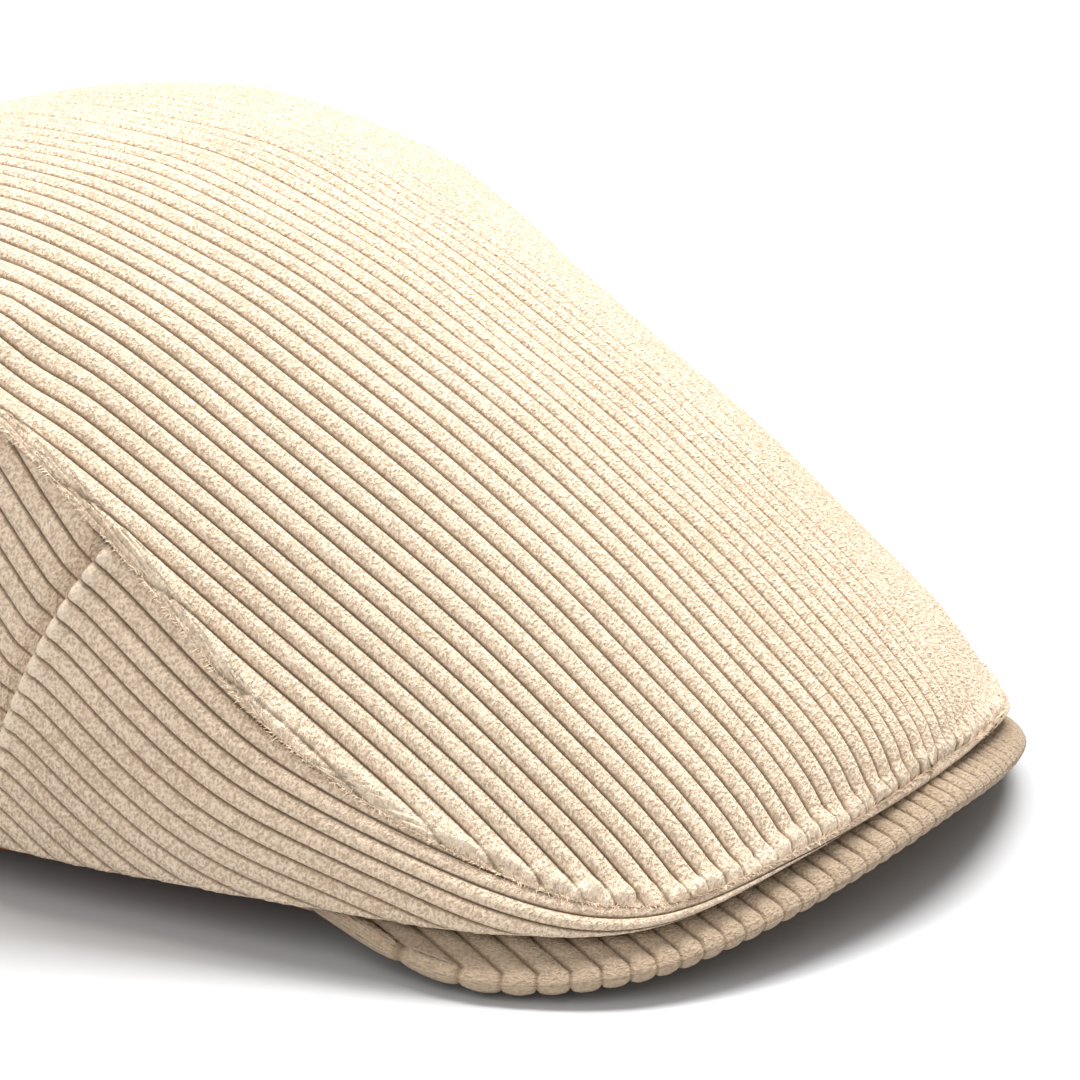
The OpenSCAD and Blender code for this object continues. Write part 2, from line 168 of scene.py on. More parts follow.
# %% Curves
def in_metres(points):
    return np.array(points, float) * [half_w, crown_l, crown_h]


def along(points, t, closed=True):
    """Points of the smooth curve at t, which counts the points of the list."""
    points = np.asarray(points, float)
    n = len(points) - 1
    t = np.atleast_1d(np.asarray(t, float))
    across = np.array([-1] + [1] * (points.shape[1] - 1))
    before = points[1] * across
    after = points[n - 1] * across if closed else 2 * points[n] - points[n - 1]
    padded = np.vstack([before, points, after])
    i = np.clip(np.floor(t).astype(int), 0, n - 1)
    f = (t - i)[:, None]
    a, b, c, d = (padded[i + k] for k in range(4))
    return 0.5 * (2 * b + (c - a) * f + (2 * a - 5 * b + 4 * c - d) * f * f
                  + (3 * b - a - 3 * c + d) * f ** 3)


def outward(points, t, closed=True):
    """Horizontal directions out of the cap, at right angles to the curve."""
    t = np.atleast_1d(np.asarray(t, float))
    step = 0.05
    a = along(points, np.maximum(0, t - step), closed)
    b = along(points, np.minimum(len(points) - 1, t + step), closed)
    v = np.stack([a[:, 1] - b[:, 1], b[:, 0] - a[:, 0], np.zeros(len(t))], 1)
    return v / np.linalg.norm(v, axis=1)[:, None]


RIM_SHARE = 0.997
fine_t = np.linspace(0, LAST, 801)
half_w = cad_size("top_panel", 0) / 2 / RIM_SHARE / -along(SEAM, fine_t)[:, 0].min()
crown_l = cad_size("top_panel", 1) / RIM_SHARE / (SEAM[-1][1] - SEAM[0][1])
crown_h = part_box("top_panel")[1][2] / along(CENTRE, fine_t, False)[:, 1].max()
print("half width", round(half_w, 4), "length", round(crown_l, 4), "height", round(crown_h, 4))

LEAN = math.radians(40)
seam_line, edge_line = in_metres(SEAM), in_metres(EDGE)


def seam_at(t, depth):
    h = outward(seam_line, t)
    v = h * math.cos(LEAN) + np.array([0, 0, math.sin(LEAN)])
    return along(seam_line, t) - depth * v


def edge_at(t, depth):
    return along(edge_line, t) - depth * outward(edge_line, t)


print("seam is", round(float(np.linalg.norm(np.diff(along(
    seam_line, np.linspace(0, LAST, 400)), axis=0), axis=1).sum()) * 2, 3), "m round")

# %% [markdown]
# Every cloth piece is a closed shell: an outer grid of points, an inner grid a
# cloth's thickness behind it, and a rim that joins the two. The grids' columns
# follow the ribs, so a rib is as straight and even as it is in woven corduroy.
# The map coordinates count ribs across and rib widths along, so that the finish
# can find each groove. The worn value marks where the pile is flattened or
# folded and looks lighter.

# %% Shells
def normals_of(grid):
    across = np.gradient(grid, axis=0)
    down = np.gradient(grid, axis=1)
    n = np.cross(across, down)
    return n / np.maximum(np.linalg.norm(n, axis=2), 1e-12)[:, :, None]


def mirror_left(grid):
    return grid[::-1] * np.array([-1, 1, 1])


def shell(name, outer, inner, uv, worn=None):
    """A closed piece from two grids of points of the same size."""
    n, m = outer.shape[:2]
    half = n * m
    points = np.vstack([outer.reshape(-1, 3), inner.reshape(-1, 3)])
    at = np.arange(half).reshape(n, m)
    a, b, c, d = at[:-1, :-1], at[1:, :-1], at[1:, 1:], at[:-1, 1:]
    top = np.stack([a, b, c, d], 2).reshape(-1, 4)
    faces = [top, top[:, ::-1] + half]
    ring = np.concatenate([at[:-1, 0], at[-1, :-1], at[:0:-1, -1], at[0, :0:-1]])
    after = np.roll(ring, -1)
    faces.append(np.stack([after, ring, ring + half, after + half], 1))
    faces = np.vstack(faces)
    p = points[faces]
    volume = (np.einsum("ij,ij->i", p[:, 0], np.cross(p[:, 1], p[:, 2]))
              + np.einsum("ij,ij->i", p[:, 0], np.cross(p[:, 2], p[:, 3]))).sum()
    if volume < 0:
        faces = faces[:, ::-1]
    mesh = bpy.data.meshes.new(name)
    mesh.from_pydata(points.tolist(), [], faces.tolist())
    layer = mesh.uv_layers.new(name="cloth")
    both = np.vstack([uv.reshape(-1, 2)] * 2)
    layer.data.foreach_set("uv", both[faces.reshape(-1)].reshape(-1))
    value = mesh.attributes.new("worn", "FLOAT", "POINT")
    flat = np.zeros(half) if worn is None else worn.reshape(-1)
    value.data.foreach_set("value", np.concatenate([flat, flat]))
    joined = bmesh.new()
    joined.from_mesh(mesh)
    bmesh.ops.remove_doubles(joined, verts=joined.verts, dist=2e-6)
    joined.to_mesh(mesh)
    joined.free()
    mesh.polygons.foreach_set("use_smooth", [True] * len(mesh.polygons))
    piece = bpy.data.objects.new(name, mesh)
    scene.collection.objects.link(piece)
    print(name, sum(len(p.vertices) - 2 for p in mesh.polygons), "triangles")
    return piece


def nearest(points, line):
    """Distance and number of the nearest point of a line, for every point of a grid."""
    flat = points.reshape(-1, 3)
    far, which = np.empty(len(flat)), np.empty(len(flat), int)
    for i in range(0, len(flat), 4000):
        square = ((flat[i:i + 4000, None] - line[None]) ** 2).sum(2)
        which[i:i + 4000] = square.argmin(1)
        far[i:i + 4000] = np.sqrt(square.min(1))
    return far.reshape(points.shape[:-1]), which.reshape(points.shape[:-1])


def distance_to(points, line):
    return nearest(points, line)[0]


# %% [markdown]
# Corduroy is pile cut into ridges. Across one rib the pile stands nearly flat
# with rounded shoulders, and the groove between two ribs is a narrow slot. Eight
# columns of points draw one rib, crowded at the groove. No two ribs are quite the
# same height, because the cloth is handled, so each rib gets its own factor.

# %% Ribs
RIB_HEIGHT = 0.0014
SINK = 0.0011
ACROSS_RIB = np.array([-0.5, -0.44, -0.34, -0.18, 0, 0.18, 0.34, 0.44])
rng = np.random.default_rng(11)


def rib_columns(low, high):
    """Distances across the cloth at which its columns of points stand."""
    first, last = math.floor(low / RIB_PITCH), math.ceil(high / RIB_PITCH)
    u = (np.arange(first, last + 1)[:, None] + 0.5 + ACROSS_RIB[None]).reshape(-1)
    u = u * RIB_PITCH
    u = u[(u > low) & (u < high)]
    return np.concatenate([[low], u, [high]])


def rib_profile(u):
    """Height of the pile, from 0 in a groove to about 1 on a rib."""
    phase = np.abs(u / RIB_PITCH - np.floor(u / RIB_PITCH) - 0.5) * 2
    return np.sqrt(np.maximum(0, 1 - phase ** 2.2))


def rib_factor(u):
    factors = 0.92 + 0.16 * rng.random(400)
    return factors[np.floor(np.asarray(u) / RIB_PITCH).astype(int) + 200]


def crowded(rows, amount=0.13):
    """Shares from 0 to 1 with more of them near both ends."""
    q = np.linspace(0, 1, rows)
    return q - amount * np.sin(2 * np.pi * q)


def bell(d, middle, width):
    return np.exp(-((d - middle) / width) ** 2)


# %% [markdown]
# The top panel is one piece of corduroy from the front lip to the back, ribs
# running front to back. Across any section it is a flattened arch between the
# two seams. Its columns keep the same distance from the middle, measured over
# the arch, so the ribs stay parallel and run out at the seam as cut cloth does.

# %% The arch of the top panel
def centre_at(t, depth):
    flat = np.array(CENTRE, float) * [crown_l, crown_h]
    points = np.hstack([np.zeros((len(flat), 1)), flat])
    e = 0.05
    t = np.atleast_1d(np.asarray(t, float))
    p = along(points, t, False)
    a = along(points, np.maximum(0, t - e), False)
    b = along(points, np.minimum(len(points) - 1, t + e), False)
    v = np.stack([np.zeros(len(t)), a[:, 2] - b[:, 2], b[:, 1] - a[:, 1]], 1)
    p = p - depth * v / np.linalg.norm(v, axis=1)[:, None]
    p[t <= 0] = seam_at(0, depth)
    p[t >= len(points) - 1] = seam_at(LAST, depth)
    return p


class Arch:
    """The top panel's surface at one depth, by distance from the middle and y."""

    def __init__(self, depth):
        seam = seam_at(fine_t, depth)
        centre = centre_at(np.linspace(0, len(CENTRE) - 1, 801), depth)
        k = np.arange(601) / 600
        self.y = seam[0, 1] + (seam[-1, 1] - seam[0, 1]) * (1 - np.cos(np.pi * k)) / 2
        self.half = np.interp(self.y, seam[:, 1], -seam[:, 0])
        self.low = np.interp(self.y, seam[:, 1], seam[:, 2])
        self.high = np.maximum(self.low, np.interp(self.y, centre[:, 1], centre[:, 2]))
        s = np.linspace(0, 1, 161)
        x = s[None] * self.half[:, None]
        z = (self.high - self.low)[:, None] * (1 - s[None] ** ROUNDNESS)
        arc = np.zeros_like(x)
        arc[:, 1:] = np.cumsum(np.hypot(np.diff(x, axis=1), np.diff(z, axis=1)), axis=1)
        self.reach = arc[:, -1]
        w = np.linspace(0, 1, 161)
        self.share = np.array([np.interp(w * r, a, s) for r, a in zip(self.reach, arc)])
        self.run = np.concatenate([[0], np.cumsum(np.hypot(np.diff(self.y),
                                                           np.diff(self.high)))])
        self.widest = int(self.reach.argmax())

    def ends(self, u):
        k = self.widest
        u = np.abs(u)
        front = np.interp(u, np.maximum.accumulate(self.reach[:k + 1]), self.y[:k + 1])
        back = np.maximum.accumulate(self.reach[:k - 1:-1])
        return front, np.interp(u, back, self.y[:k - 1:-1])

    def rows(self, u, shares):
        front, back = self.ends(u)
        c0, c1 = np.interp(front, self.y, self.run), np.interp(back, self.y, self.run)
        c = c0[:, None] + (c1 - c0)[:, None] * shares[None]
        return np.interp(c, self.run, self.y)

    def at(self, u, y):
        place = np.interp(y, self.y, np.arange(len(self.y)))
        i = np.clip(place.astype(int), 0, len(self.y) - 2)
        f = place - i

        def between(table):
            return table[i] * (1 - f) + table[i + 1] * f

        w = np.clip(np.abs(u) / np.maximum(between(self.reach), 1e-9), 0, 1)
        w = w * (self.share.shape[1] - 1)
        j = np.clip(w.astype(int), 0, self.share.shape[1] - 2)
        g = w - j
        s = ((self.share[i, j] * (1 - g) + self.share[i, j + 1] * g) * (1 - f)
             + (self.share[i + 1, j] * (1 - g) + self.share[i + 1, j + 1] * g) * f)
        low, high = between(self.low), between(self.high)
        return np.stack([np.sign(u) * s * between(self.half), y,
                         low + (high - low) * (1 - s ** ROUNDNESS)], -1)


# %% Top panel
TOP_ROWS = 104
LIP_HEIGHT = 0.0014
LIP_RAGGED = 0.0005
LIP_OVERHANG = 0.0011
# Hollows near the seam on the wearer's right: x, y, depth, radius.
DIMPLES = ((-0.075, 0.003, 0.0024, 0.0075), (-0.070, 0.014, -0.0012, 0.0060),
           (-0.067, 0.025, 0.0021, 0.0070), (-0.058, 0.040, -0.0008, 0.0060))
ARCH = Arch(0)
seam_points = seam_at(np.linspace(0, LAST, 900), 0)
seam_both = np.vstack([seam_points, seam_points * [-1, 1, 1]])
seam_way = outward(seam_line, np.linspace(0, LAST, 900)) - [0, 0, 0.5]
seam_ways = np.vstack([seam_way, seam_way * [-1, 1, 1]])


def undulation(p):
    """Slow, gentle waves of cloth that isn't stretched over anything."""
    x, y, z = p[..., 0], p[..., 1], p[..., 2]
    wave = (np.sin(96 * x + 41 * y + 0.7) + np.sin(63 * y - 72 * x + 2.1)
            + 0.7 * np.sin(140 * y + 55 * x + 60 * z) + 0.5 * np.sin(210 * x - 90 * y))
    return 0.00022 * wave


def lumps(p, size, seed):
    """Uneven lumps of about one size, from crossed waves in fixed directions."""
    gen = np.random.default_rng(seed)
    out = np.zeros(p.shape[:-1])
    for _ in range(9):
        way = gen.normal(size=3)
        way *= (2 * np.pi / size) * (0.7 + 0.8 * gen.random()) / np.linalg.norm(way)
        out += np.sin(p @ way + 6.28 * gen.random())
    return out / 3


def top_panel_grids():
    limit = ARCH.reach.max() - 0.0003
    u = rib_columns(-limit, limit)
    y = ARCH.rows(u, crowded(TOP_ROWS))
    side = 0.00022 * np.sin(38 * y + 15 * u[:, None]) + 0.00012 * np.sin(120 * y + 60 * u[:, None])
    d0, which = nearest(ARCH.at(np.repeat(u[:, None], TOP_ROWS, 1), y), seam_both)
    wide = u[:, None] + side * np.clip(d0 / 0.01, 0, 1)
    base = ARCH.at(wide, y)
    n = normals_of(base)
    n *= np.sign(n[len(u) // 2, TOP_ROWS // 2, 2])
    dimple = sum(depth * bell(np.hypot(base[..., 0] - x, base[..., 1] - y), 0, size)
                 for x, y, depth, size in DIMPLES)
    lip = LIP_HEIGHT * bell(d0, 0.0014, 0.0014)
    ragged = LIP_RAGGED * lumps(base, 0.0026, 5) * bell(d0, 0.001, 0.0020)
    away = np.clip(d0 / 0.012, 0, 1)
    base = base + n * (lip + ragged - SINK + undulation(base) * away - dimple)[..., None]
    flat = np.clip((d0 - 0.0006) / 0.0022, 0, 1)
    height = RIB_HEIGHT * (rib_profile(u) * rib_factor(u))[:, None] * (0.25 + 0.75 * flat)
    base = base + seam_ways[which] * (LIP_OVERHANG * bell(d0, 0, 0.0013))[..., None]
    outer = base + n * height[..., None]
    inner = base - n * 0.0011
    worn = bell(d0, 0.0012, 0.0012) * (0.50 + 0.3 * lumps(base, 0.009, 8))
    run = np.interp(y, ARCH.y, ARCH.run)
    uv = np.stack([np.repeat(u[:, None], TOP_ROWS, 1), run], -1) / RIB_PITCH
    return outer, inner, uv, np.clip(worn, 0, 1)


top_cloth = shell("top_cloth", *top_panel_grids())
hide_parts("top_panel")
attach(top_cloth, "crown")
corduroy_pieces = [top_cloth]

# %% [markdown]
# Each side of the crown is two panels. The front one is cut so that its ribs run
# nearly along the top seam and leave at the bottom edge. The rear one is cut
# steeper, and the two meet at a slanted seam where every rib of the front panel
# ends in a small round fold. Their columns are lines of constant distance across
# the cloth, each cut off exactly where it meets the panel's edge.

# %% Side surface

def side_point(t, v, depth=0.0):
    t, v = np.asarray(t, float), np.asarray(v, float)
    flat_t = t.reshape(-1)
    s, e = seam_at(flat_t, depth), edge_at(flat_t, depth)
    bulge = SIDE_BULGE * (0.08 + 0.92 * np.minimum(1, flat_t / 5.5) ** 2)
    m = (s + e) / 2 + bulge[:, None] * outward(edge_line, flat_t)
    w = v.reshape(-1)[:, None]
    p = (1 - w) ** 2 * s + 2 * w * (1 - w) * m + w ** 2 * e
    return p.reshape(t.shape + (3,))


def slant(v):
    return SLANT_TOP + (SLANT_EDGE - SLANT_TOP) * v


def ribbed_rows(point_t, vs, across):
    """Rows that cross the ribs. Returns t, v and the distance across at each point.

    Columns run along ribs. Where a rib has left the panel its column runs on
    along the panel's edge, so neighbouring columns always stay close."""
    u = rib_columns(across.min(), across.max())
    t = np.empty((len(u), len(across)))
    v, real = np.empty_like(t), np.empty_like(t)
    for k in range(len(across)):
        v[:, k] = np.interp(u, across[k], vs)
        t[:, k] = np.interp(v[:, k], vs, point_t[k])
        real[:, k] = np.clip(u, across[k, 0], across[k, -1])
    return t, v, real


slant_v = np.linspace(0, 1, 300)
slant_points = side_point(slant(slant_v), slant_v)
edge_points = edge_at(np.linspace(0, LAST, 900), 0)


# How far the cloth dips where it runs into a seam or turns under at the hem.
SEAM_TUCK = 0.0006
HEM_TUCK = 0.0008
BACK_TUCK = 0.0007
SLANT_TUCK = 0.0011


def side_grids(t, v, u, lap):
    """lap is 1 for the panel that ends over the slanted seam, -1 for the other."""
    base = side_point(t, v)
    e = 0.01
    n = np.cross(side_point(np.minimum(t + e, LAST), v) - side_point(np.maximum(t - e, 0), v),
                 side_point(t, np.minimum(v + e, 1)) - side_point(t, np.maximum(v - e, 0)))
    n /= np.linalg.norm(n, axis=2)[..., None]
    mid = base.shape[0] // 2, base.shape[1] // 2
    n *= np.sign(n[mid] @ outward(edge_line, t[mid])[0])
    to_seam = distance_to(base, seam_points)
    to_slant = distance_to(base, slant_points)
    to_edge = distance_to(base, edge_points)
    shift = undulation(base) * np.clip(to_seam / 0.012, 0, 1) - SINK
    shift -= SEAM_TUCK * bell(to_seam, 0, 0.0024)
    shift -= HEM_TUCK * bell(to_edge, 0, 0.0009)
    shift -= BACK_TUCK * bell(base[..., 0], 0, 0.0012)
    profile = rib_profile(u) * rib_factor(u)
    profile = profile * (0.3 + 0.7 * np.clip((to_edge - 0.0002) / 0.0008, 0, 1))
    if lap > 0:
        shift += 0.0003 * bell(to_slant, 0.002, 0.003) - 0.0010 * bell(to_slant, 0, 0.0005)
        profile = profile * (1 + 0.8 * bell(to_slant, 0.0014, 0.0011))
        worn = 1.6 * bell(to_slant, 0.0010, 0.0016) * rib_profile(u) ** 2
    else:
        shift -= SLANT_TUCK * bell(to_slant, 0, 0.0026)
        profile = profile * np.clip((to_slant - 0.0008) / 0.0026, 0, 1)
        worn = 0.0 * to_slant
    worn = worn + 0.3 * bell(to_edge, 0, 0.0012)
    base = base + n * shift[..., None]
    outer = base + n * (RIB_HEIGHT * profile)[..., None]
    inner = base - n * 0.0009
    step = np.linalg.norm(np.diff(base, axis=1), axis=2)
    run = np.concatenate([np.zeros((len(u), 1)), np.cumsum(step, axis=1)], axis=1)
    run -= run[:, -1:] if lap > 0 else 0
    return outer, inner, np.stack([u, run], -1) / RIB_PITCH, np.clip(worn, 0, 1)


def both_sides(name, node, grids):
    outer, inner, uv, worn = grids
    for side, flip in (("right", False), ("left", True)):
        if flip:
            outer, inner = mirror_left(outer), mirror_left(inner)
            uv, worn = uv[::-1], worn[::-1]
        piece = shell(f"{name}_{side}", outer, inner, uv, worn)
        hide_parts(f"{node}_{side}")
        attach(piece, "crown")
        corduroy_pieces.append(piece)


# %% Front side panels
vs = np.linspace(0, 1, 101)


def panel_surface(start, end, rows):
    """t for each row and v, the surface there, and the shares along the panel."""
    share = crowded(rows, 0.12)[:, None]
    t = start(vs)[None] * (1 - share) + end(vs)[None] * share
    v = np.repeat(vs[None], rows, 0)
    return t, v, side_point(t, v)


def runs_down(surface):
    steps = np.linalg.norm(np.diff(surface, axis=1), axis=2)
    return np.concatenate([np.zeros((len(surface), 1)), np.cumsum(steps, axis=1)], axis=1)


point_t, point_v, surface = panel_surface(lambda v: 0.002 + 0 * v,
                                          lambda v: slant(v) - 0.008, 120)
run = np.concatenate([[0], np.cumsum(np.linalg.norm(np.diff(surface[:, 0], axis=0), axis=1))])
FAN = math.tan(math.radians(6))
fan_start = np.interp(2.0, point_t[:, 0], run)
past = np.maximum(0, run - fan_start)
fanned = runs_down(surface) - (FAN * past ** 2 / (past + 0.03))[:, None]
t_rows, v_rows, real = ribbed_rows(point_t, vs, fanned)
both_sides("side_front_cloth", "side_panel_front", side_grids(t_rows, v_rows, real, 1))

# %% Rear side panels
REAR_ANGLE = math.radians(47)
point_t, point_v, surface = panel_surface(lambda v: slant(v) - 0.06,
                                          lambda v: LAST - 0.0008 + 0 * v, 84)
flat_t = np.linspace(4.9, LAST, 400)
middle_line = side_point(flat_t, np.full_like(flat_t, 0.5))[:, :2]
middle_run = np.concatenate([[0], np.cumsum(np.linalg.norm(np.diff(middle_line, axis=0),
                                                           axis=1))])
steep = (np.interp(point_t, flat_t, middle_run) * math.sin(REAR_ANGLE)
         - surface[..., 2] * math.cos(REAR_ANGLE))
t_rows, v_rows, real = ribbed_rows(point_t, vs, steep)
both_sides("side_rear_cloth", "side_panel_rear", side_grids(t_rows, v_rows, real, -1))

# %% [markdown]
# The visor is a stiff board between two pieces of corduroy whose ribs run front to
# back. The two meet round the outside of the board, where each rib rolls over and
# makes a small scallop. Both covers are drawn the same way: one set of columns
# that fan out a little from the middle of the visor, as the cloth does when it is
# drawn round a curved board, and rows that roll round its edge.

# %% Visor surface
VISOR_LIFT = -along(in_metres(VISOR_OUT), np.linspace(0, 5, 41), False)[:, 2].min() + 0.0022
LIFT = np.array([0, 0, VISOR_LIFT])
TEMPLE = len(VISOR_OUT) - 1
visor_t = np.linspace(0, TEMPLE, 501)
visor_out = along(in_metres(VISOR_OUT), visor_t, False) + LIFT
visor_in = along(in_metres(VISOR_IN), visor_t, False) + LIFT


def visor_height(x, y):
    """Height of the visor's middle surface at points on the wearer's right."""
    d = visor_in[:, :2] - visor_out[:, :2]
    x, y = -np.abs(x.reshape(-1)), y.reshape(-1)
    cross = (d[None, :, 0] * (y[:, None] - visor_out[None, :, 1])
             - d[None, :, 1] * (x[:, None] - visor_out[None, :, 0]))
    k = np.abs(cross).argmin(1)
    u = np.clip(((y - visor_out[k, 1]) * d[k, 1] + (x - visor_out[k, 0]) * d[k, 0])
                / (d[k] ** 2).sum(1), 0, 1)
    t = visor_t[k]
    arch = 0.003 * (1 - 0.8 * t / TEMPLE)
    return (1 - u) * visor_out[k, 2] + u * visor_in[k, 2] + 2 * u * (1 - u) * arch


ROLL = 0.0019
outer_way = outward(in_metres(VISOR_OUT), visor_t, False)
inner_way = -outward(in_metres(VISOR_IN), visor_t, False)
corner = np.clip((visor_t - TEMPLE + 0.5) / 0.5, 0, 1)[:, None]
end_way = np.array([-0.3, 0.95, 0])
outer_way = outer_way * (1 - corner) + end_way * corner
inner_way = inner_way * (1 - corner) + end_way * corner
outer_way /= np.linalg.norm(outer_way, axis=1)[:, None]
inner_way /= np.linalg.norm(inner_way, axis=1)[:, None]
near_edge = visor_out + 0.02 * (visor_in - visor_out)
rib_way = (visor_in - visor_out)[:, :2]
rib_way /= np.linalg.norm(rib_way, axis=1)[:, None]
gone = np.diff(near_edge[:, :2], axis=0)
apart = np.abs(gone[:, 0] * rib_way[1:, 1] - gone[:, 1] * rib_way[1:, 0])
fan_u = np.concatenate([[0], np.cumsum(apart)])


def visor_grids(side):
    """Outer and inner grids of one cover; side is 1 on top and -1 underneath."""
    u = rib_columns(-fan_u[-1], fan_u[-1])
    t = np.interp(np.abs(u), fan_u, visor_t)

    def at(table):
        return np.stack([np.interp(t, visor_t, table[:, k]) for k in range(2)], 1)

    flip = np.stack([np.where(u > 0, -1.0, 1.0), np.ones(len(u))], 1)
    n0, n1 = at(outer_way) * flip, at(inner_way) * flip
    p0, p1 = at(visor_out) * flip - n0 * ROLL, at(visor_in) * flip - n1 * ROLL
    steps = 6
    q = np.concatenate([np.zeros(steps), crowded(34, 0.1), np.ones(steps)])
    row_angle = np.zeros(len(q))
    row_angle[:steps] = np.linspace(np.pi / 2, np.pi / 2 / steps, steps)
    row_angle[-steps:] = row_angle[:steps][::-1]
    side_angle = np.concatenate([row_angle[:steps], np.zeros(len(u)), row_angle[-steps:]])
    pick = np.concatenate([np.zeros(steps, int), np.arange(len(u)),
                           np.full(steps, len(u) - 1)])
    x = p0[:, :1] + (p1 - p0)[:, :1] * q[None]
    y = p0[:, 1:] + (p1 - p0)[:, 1:] * q[None]
    flat = np.stack([x, y, visor_height(x, y).reshape(y.shape)], 2)
    core = normals_of(flat[:, steps:-steps])
    up = np.concatenate([core[:, :1].repeat(steps, 1), core, core[:, -1:].repeat(steps, 1)], 1)
    up *= np.sign(up[len(u) // 2, len(q) // 2, 2]) * side
    way = n0[:, None] * (1 - q)[None, :, None] + n1[:, None] * q[None, :, None]
    way /= np.linalg.norm(way, axis=2)[..., None]
    flat, up, way = flat[pick], up[pick], way[pick]
    angle = np.maximum(side_angle[:, None], row_angle[None])[..., None]
    real = u[pick]
    profile = (rib_profile(real) * rib_factor(real))[:, None, None]

    def layer(reach, height, ribs):
        out = np.concatenate([way * reach * np.sin(angle),
                              side * height * np.cos(angle)], 2)
        rounded = np.concatenate([way * np.sin(angle), side * np.cos(angle)], 2)
        rounded = np.where(angle > 0, rounded, up)
        fade = 1 - 0.7 * np.clip(angle, 0, 1) if ribs else 0
        return flat + out + rounded * ribs * profile * fade

    outer = layer(ROLL, 0.0012, 0.0012)
    inner = layer(ROLL - 0.0009, 0.0006, 0.0)
    step = np.linalg.norm(np.diff(outer, axis=1), axis=2)
    run = np.concatenate([np.zeros((len(real), 1)), np.cumsum(step, axis=1)], axis=1)
    uv = np.stack([np.repeat(real[:, None], run.shape[1], 1), run], -1) / RIB_PITCH
    edge = np.zeros(run.shape)
    edge[:, :steps + 2] = np.linspace(0.35, 0.1, steps + 2)[None]
    return outer, inner, uv, edge


for name, node, side in (("visor_top_cloth", "visor_top_cover", 1),
                         ("visor_under_cloth", "visor_under_cover", -1)):
    piece = shell(name, *visor_grids(side))
    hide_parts(node)
    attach(piece, "visor")
    corduroy_pieces.append(piece)

# %% [markdown]
# The front edge of the crown turns in under itself and lies over the visor. That
# facing, the lining, the sweatband and its elastic are smooth cloth, so a plain
# grid over the same surface as the frame's is enough, with a little slackness:
# satin that is sewn in round a head is never quite flat.

# %% Smooth layers
def mirrored_sheet(point, ts, us):
    """A sheet from the wearer's left to right; point(t, u) is on the right."""
    t, u = np.meshgrid(ts, us, indexing="ij")
    right = point(t, u)
    left = mirror_left(right)
    return np.vstack([left[:-1], right])


def plain_uv(grid):
    a = np.concatenate([[0], np.cumsum(np.linalg.norm(
        np.diff(grid[:, grid.shape[1] // 2], axis=0), axis=1))])
    step = np.linalg.norm(np.diff(grid, axis=1), axis=2)
    b = np.concatenate([np.zeros((len(grid), 1)), np.cumsum(step, axis=1)], axis=1)
    return np.stack([np.repeat(a[:, None], b.shape[1], 1), b], -1) / RIB_PITCH


def cloth_piece(name, grid, thickness, node, slack=0.0, size=0.03, away=None):
    """A smooth closed sheet, thickened to the side that away points to."""
    n = normals_of(grid)
    mid = grid.shape[0] // 2, grid.shape[1] // 2
    n *= np.sign(n[mid] @ np.array(away, float))
    grid = grid - n * (slack * (1 + lumps(grid, size, len(name))))[..., None]
    piece = shell(name, grid, grid - n * thickness, plain_uv(grid))
    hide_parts(node)
    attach(piece, "crown")
    return piece


FACING_ARCH = 0.00844


def facing_point(rise, lift):
    def point(t, u):
        flat = t.reshape(-1)
        a = edge_at(flat, 0.003) + [0, 0, 0.0005]
        b = along(in_metres(VISOR_IN), flat * 4.1 / 3.25, False) + LIFT + [0, 0, 0.0035]
        arch = ((rise + FACING_ARCH) * (1 - 0.8 * flat / 3.25))[:, None]
        w = u.reshape(-1)[:, None]
        p = (1 - w) * a + w * b
        p[:, 2:] += 2 * w * (1 - w) * arch + lift
        return p.reshape(t.shape + (3,))
    return point


facing = cloth_piece("front_facing", mirrored_sheet(facing_point(0, 0.0004),
                     np.linspace(0, 3.25, 60), np.linspace(0, 1, 24)),
                     0.0008, "crown_front_facing", away=(0, 0, 1))
corduroy_pieces.append(facing)
satin_pieces = [cloth_piece("front_lining", mirrored_sheet(facing_point(0.0095, 0.0013),
                            np.linspace(0, 3.25, 60), np.linspace(0.14, 1, 24)),
                            0.0004, "lining_front", 0.0003, 0.02, (0, 0, 1))]


# %% Lining
def lining_dome(depth):
    arch = Arch(depth)
    limit = arch.reach.max() - 0.001
    u = np.linspace(-limit, limit, 141)
    return arch.at(np.repeat(u[:, None], 110, 1), arch.rows(u, crowded(110)))


top_lining = cloth_piece("top_lining", lining_dome(0.0033), 0.0004, "lining_top",
                         0.0006, 0.028, (0, 0, 1))
satin_pieces.append(top_lining)
grid_t, grid_v = np.meshgrid(np.linspace(3.4, LAST - 0.001, 130),
                             np.linspace(0.0, 0.8, 26), indexing="ij")
side_lining = side_point(grid_t, grid_v, 0.0033)
for side, grid, way in (("right", side_lining, -1), ("left", mirror_left(side_lining), 1)):
    satin_pieces.append(cloth_piece(f"side_lining_{side}", grid, 0.0004,
                                    f"lining_side_{side}", 0.0003, 0.024,
                                    (way, 0, 0.3)))

# %% [markdown]
# The sweatband is a folded strip of satin that stands inside the opening. At the
# back a length of elastic pulls it in, which gathers the satin over it into small
# upright folds. A blank label is sewn to the band on the wearer's right.

# %% Sweatband
opening_line = in_metres(OPENING)
BAND_HEIGHT = 0.032
WALL_DEPTH = 0.0041


def band_point(a, h, depth):
    """A point of the band; a runs on past the back centre to the wearer's left."""
    flat = a.reshape(-1)
    folded = np.where(flat > LAST, 2 * LAST - flat, np.abs(flat))
    sign = np.where((flat > LAST) | (flat < 0), -1.0, 1.0)
    p = along(opening_line, folded) - (WALL_DEPTH + depth.reshape(-1)[:, None]) * outward(
        opening_line, folded)
    p[:, 0] *= sign
    p[:, 2] += h.reshape(-1) * BAND_HEIGHT
    return p.reshape(a.shape + (3,))


